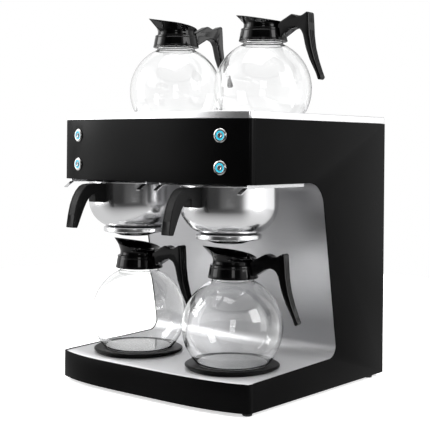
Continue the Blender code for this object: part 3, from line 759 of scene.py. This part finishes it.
facings = {"lower_left": 4.5, "lower_right": 11.0, "upper_left": 73.0, "upper_right": 2.0}
for word, degrees in facings.items():
    body = "jug_" + word
    place = axisOf("jug_glass_" + word)
    turn = (0, 0, math.radians(degrees))
    tail = "".join(w.title() for w in word.split("_"))
    putPiece("glassGlobe" + tail, spinMesh("glassGlobe", glassProfile(), 144), glass, body,
             "jug_glass_" + word, place, turn)
    putPiece("neckCollar" + tail, spinMesh("neckCollar", roundCorners(collarProfile, 0.5, True, 4), 112), gloss,
             body, None, place, turn)
    outline = roundCorners(gripLine, 3.0, True, 7)
    weights = [1.0 if outerStrip(p) else 0.0 for p in outline]
    rings = edgeRings(jug["gripHalf"], jug["gripEdge"], [(g, 2.4, 0.9) for g in jug["grooves"]])
    grip = ringSlab("pourGrip", outline, rings, "XZ", weights)
    for vert in grip.vertices:  # the grip narrows towards its tip
        vert.co.y *= 1 - jug["taper"] * min(1.0, max(0.0, (jug["taperFrom"] - vert.co.z) / jug["taperRun"]))
    putPiece("pourGrip" + tail, grip, gloss, body, "jug_handle_" + word, place, turn)
    putPiece("pourTop" + tail, dishMesh("pourTop"), gloss, body, "jug_top_" + word, place, turn)
print("jugs ready")

# ---- nodes that keep their CAD shape, with soft edges ----
kept = {"rear_cover": (paint, "black_paint", 0.4), "housing_floor": (paint, "black_paint", 0.3),
        "basket_rails_left": (railSteel, "stainless", 0.35), "basket_rails_right": (railSteel, "stainless", 0.35),
        "control_board": (board, "circuit_board", 0.2), "spray_hose_left": (silicone, "silicone", 0.0),
        "spray_hose_right": (silicone, "silicone", 0.0), "water_boiler": (railSteel, "stainless", 0.0),
        "inlet_valve": (brass, "brass", 0.5), "power_gland": (gripBlack, "black_plastic", 0.4)}
for level in ("lower", "upper"):
    for across in ("left", "right"):
        kept["warmer_element_" + level + "_" + across] = (railSteel, "stainless", 0.4)
for node, (finish, slotName, soften) in kept.items():
    obj = nodes[node]
    obj.data.materials.clear()
    obj.data.materials.append(finish)
    if soften:
        bevel = obj.modifiers.new("softEdges", "BEVEL")
        bevel.width = soften * 0.001
        bevel.segments = 2
        bevel.limit_method = "ANGLE"
        bevel.angle_limit = math.radians(40)
        bevel.harden_normals = True
print("kept nodes finished")

# ---- floor, light and camera ----
# studio walls seen in reflections: by compass angle, 0.5 is straight out of the front, 0.75 is the right
wallStops = [(0.0, 0.12), (0.08, 0.15), (0.17, 0.8), (0.3, 1.0), (0.32, 5.0), (0.375, 5.0), (0.385, 1.2), (0.41, 1.1),
             (0.435, 0.25), (0.455, 0.04), (0.54, 0.03), (0.56, 0.1), (0.69, 0.1), (0.725, 1.3), (0.785, 1.5),
             (0.79, 6.0), (0.83, 6.0), (0.84, 1.3), (0.96, 1.1), (1.0, 0.12)]
floorStops = [(0.0, 0.3), (0.17, 0.7), (0.36, 0.8), (0.44, 0.2), (0.5, 0.06), (0.6, 0.06), (0.68, 0.12), (0.74, 1.0),
              (0.85, 1.0), (1.0, 0.4)]


def studioWalls(tree, direction, stops):
    split = tree.nodes.new("ShaderNodeSeparateXYZ")
    tree.links.new(direction, split.inputs[0])
    flip = tree.nodes.new("ShaderNodeMath")
    flip.operation = "MULTIPLY"
    flip.inputs[1].default_value = -1.0
    tree.links.new(split.outputs["Y"], flip.inputs[0])
    angle = tree.nodes.new("ShaderNodeMath")
    angle.operation = "ARCTAN2"
    tree.links.new(split.outputs["X"], angle.inputs[0])
    tree.links.new(flip.outputs[0], angle.inputs[1])
    walls = tree.nodes.new("ShaderNodeValToRGB")
    spread(tree, angle.outputs[0], 0.0, 1.0, walls.inputs["Fac"], -math.pi, math.pi)
    ramp = walls.color_ramp
    while len(ramp.elements) < len(stops):
        ramp.elements.new(0.5)
    for element, (place, level) in zip(ramp.elements, stops):
        element.position = place
        element.color = (level, level, level, 1)
    return split, walls


studio = {"floor": 0.93, "floorGlow": 0.6, "floorSheen": 0.8, "nearFloor": (0.26, 0.9), "floorHalf": 1.5,
          "backdrop": 1.0}
floorMesh = bpy.data.meshes.new("studioFloor")
floorMesh.from_pydata([(x * studio["floorHalf"], y * studio["floorHalf"], 0)
                       for x, y in ((-1, -1), (1, -1), (1, 1), (-1, 1))], [], [(0, 1, 2, 3)])
floor = bpy.data.objects.new("studioFloor", floorMesh)
floor.location = (0, 0, cadLow.z)
scene.collection.objects.link(floor)
floorFinish, floorTree, floorShader = newFinish("paleFloor", (studio["floor"],) * 3, 0.0, 0.9)
floorShader.inputs["Emission Color"].default_value = (1, 1, 1, 1)
floorShader.inputs["Emission Strength"].default_value = studio["floorGlow"]
# mirrors see the walls' bands carried down over the floor, and a pale patch close to the machine
floorPath = floorTree.nodes.new("ShaderNodeLightPath")
floorDim = floorTree.nodes.new("ShaderNodeEmission")
floorMix = floorTree.nodes.new("ShaderNodeMixShader")
floorOnly = floorTree.nodes.new("ShaderNodeMath")
floorOnly.operation = "SUBTRACT"
floorOnly.use_clamp = True
floorTree.links.new(floorPath.outputs["Is Glossy Ray"], floorOnly.inputs[0])
floorTree.links.new(floorPath.outputs["Is Transmission Ray"], floorOnly.inputs[1])
floorTree.links.new(floorOnly.outputs[0], floorMix.inputs["Fac"])
floorPlace = floorTree.nodes.new("ShaderNodeNewGeometry")
floorReach = floorTree.nodes.new("ShaderNodeVectorMath")
floorReach.operation = "LENGTH"
floorTree.links.new(floorPlace.outputs["Position"], floorReach.inputs[0])
_, floorWalls = studioWalls(floorTree, floorPlace.outputs["Position"], floorStops)
floorNear = floorTree.nodes.new("ShaderNodeMixRGB")
floorNear.inputs["Color2"].default_value = (studio["floorSheen"],) * 3 + (1,)
floorTree.links.new(floorWalls.outputs["Color"], floorNear.inputs["Color1"])
spread(floorTree, floorReach.outputs["Value"], 1.0, 0.0, floorNear.inputs["Fac"], *studio["nearFloor"])
floorTree.links.new(floorNear.outputs["Color"], floorDim.inputs["Color"])
floorTree.links.new(floorShader.outputs[0], floorMix.inputs[1])
floorTree.links.new(floorDim.outputs[0], floorMix.inputs[2])
floorTree.links.new(floorMix.outputs[0], floorTree.nodes["Material Output"].inputs["Surface"])
floorMesh.materials.append(floorFinish)
floor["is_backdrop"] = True

world = bpy.data.worlds.new("studioWorld")
scene.world = world
world.use_nodes = True
tree = world.node_tree
tree.nodes.clear()
out = tree.nodes.new("ShaderNodeOutputWorld")
backdrop = tree.nodes.new("ShaderNodeBackground")
backdrop.inputs["Color"].default_value = (1, 1, 1, 1)
backdrop.inputs["Strength"].default_value = studio["backdrop"]
surround = tree.nodes.new("ShaderNodeBackground")
path = tree.nodes.new("ShaderNodeLightPath")
seen = tree.nodes.new("ShaderNodeMath")
seen.operation = "MAXIMUM"
tree.links.new(path.outputs["Is Camera Ray"], seen.inputs[0])
tree.links.new(path.outputs["Is Transmission Ray"], seen.inputs[1])
mix = tree.nodes.new("ShaderNodeMixShader")
tree.links.new(seen.outputs[0], mix.inputs["Fac"])
tree.links.new(surround.outputs[0], mix.inputs[1])
tree.links.new(backdrop.outputs[0], mix.inputs[2])
tree.links.new(mix.outputs[0], out.inputs["Surface"])
coord = tree.nodes.new("ShaderNodeTexCoord")
split, walls = studioWalls(tree, coord.outputs["Generated"], wallStops)
overhead = tree.nodes.new("ShaderNodeMapRange")
overhead.interpolation_type = "SMOOTHSTEP"
overhead.inputs["From Min"].default_value = 0.4
overhead.inputs["From Max"].default_value = 0.8
tree.links.new(split.outputs["Z"], overhead.inputs["Value"])
blendSky = tree.nodes.new("ShaderNodeMixRGB")
blendSky.inputs["Color2"].default_value = (1.0, 1.0, 1.0, 1)
tree.links.new(overhead.outputs["Result"], blendSky.inputs["Fac"])
tree.links.new(walls.outputs["Color"], blendSky.inputs["Color1"])
tree.links.new(blendSky.outputs["Color"], surround.inputs["Color"])


def softbox(name, place, target, wide, high, power):
    data = bpy.data.lights.new(name, "AREA")
    data.shape = "RECTANGLE"
    data.size, data.size_y = wide, high
    data.energy = power
    obj = bpy.data.objects.new(name, data)
    obj.location = place
    obj.rotation_euler = (Vector(target) - Vector(place)).to_track_quat("-Z", "Y").to_euler()
    scene.collection.objects.link(obj)
    return obj


softbox("keyBox", (1.45, -1.75, 0.75), (0.05, -0.1, 0.2), 0.5, 0.6, 4)
softbox("sideBox", (2.0, 0.1, 1.1), (0.05, -0.1, 0.2), 0.8, 1.0, 16)
softbox("leftBox", (-1.9, -0.9, 1.2), (0.0, -0.1, 0.2), 0.9, 1.2, 20)
softbox("topBox", (0.0, -0.4, 2.4), (0.0, -0.1, 0.2), 1.6, 1.6, 26)

view = {"place": (1.11065, -1.36642, 0.40115), "yaw": 39.333, "pitch": 0.01, "roll": 0.526, "lens": 86.4,
        "shift": -0.1605}
yaw, pitch, roll = (math.radians(view[k]) for k in ("yaw", "pitch", "roll"))
ahead = Vector((-math.sin(yaw) * math.cos(pitch), math.cos(yaw) * math.cos(pitch), -math.sin(pitch)))
right = Vector((math.cos(yaw), math.sin(yaw), 0))
up = right.cross(ahead)
across = right * math.cos(roll) + up * math.sin(roll)
upward = up * math.cos(roll) - right * math.sin(roll)
cameraData = bpy.data.cameras.new("brewerCamera")
cameraData.lens = view["lens"]
cameraData.sensor_width = 36.0
cameraData.shift_y = view["shift"]
cameraData.clip_end = 100
camera = bpy.data.objects.new("brewerCamera", cameraData)
camera.matrix_world = Matrix.Translation(view["place"]) @ Matrix((across, upward, -ahead)).transposed().to_4x4()
scene.collection.objects.link(camera)
scene.camera = camera
scene.view_settings.view_transform = "Standard"
scene.view_settings.look = "None"
print("studio ready")

low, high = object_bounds()
